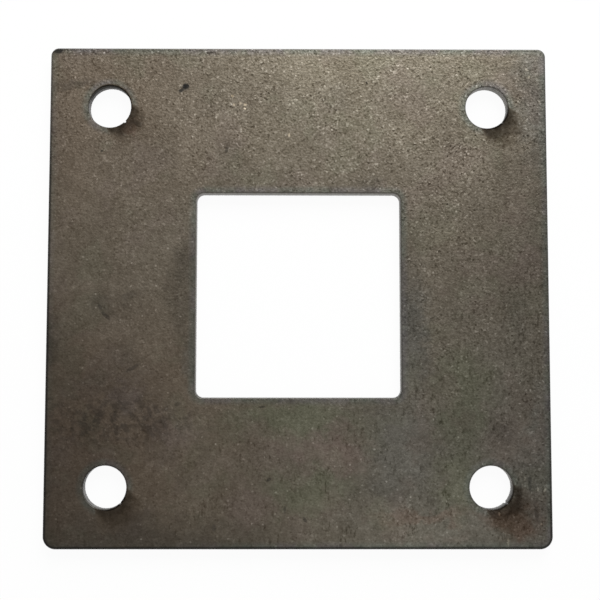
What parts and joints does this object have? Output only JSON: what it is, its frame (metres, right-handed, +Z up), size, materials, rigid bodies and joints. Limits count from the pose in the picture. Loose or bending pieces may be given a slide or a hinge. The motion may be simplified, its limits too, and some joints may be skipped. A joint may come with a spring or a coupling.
{
  "type": "square cover plate",
  "caption": "Flat square steel plate with rounded corners, a square window in its centre and a bolt hole in each corner.",
  "frame": {"origin": "centre of the plate's underside", "axes": "+Z up through the thickness, out of the top face and along the bolt holes; +X and +Y along the plate's sides"},
  "size_m": [0.1, 0.1, 0.003],
  "materials": {
    "mill_scale_steel": "Hot-rolled steel as it leaves the mill: dull brown-grey scale with a fine sandy speckle, blue-grey heat bands along the laser-cut edges, and dark burn marks beside the holes."
  },
  "bodies": {
    "root": {"cover_plate": "mill_scale_steel"}
  },
  "joints": []
}
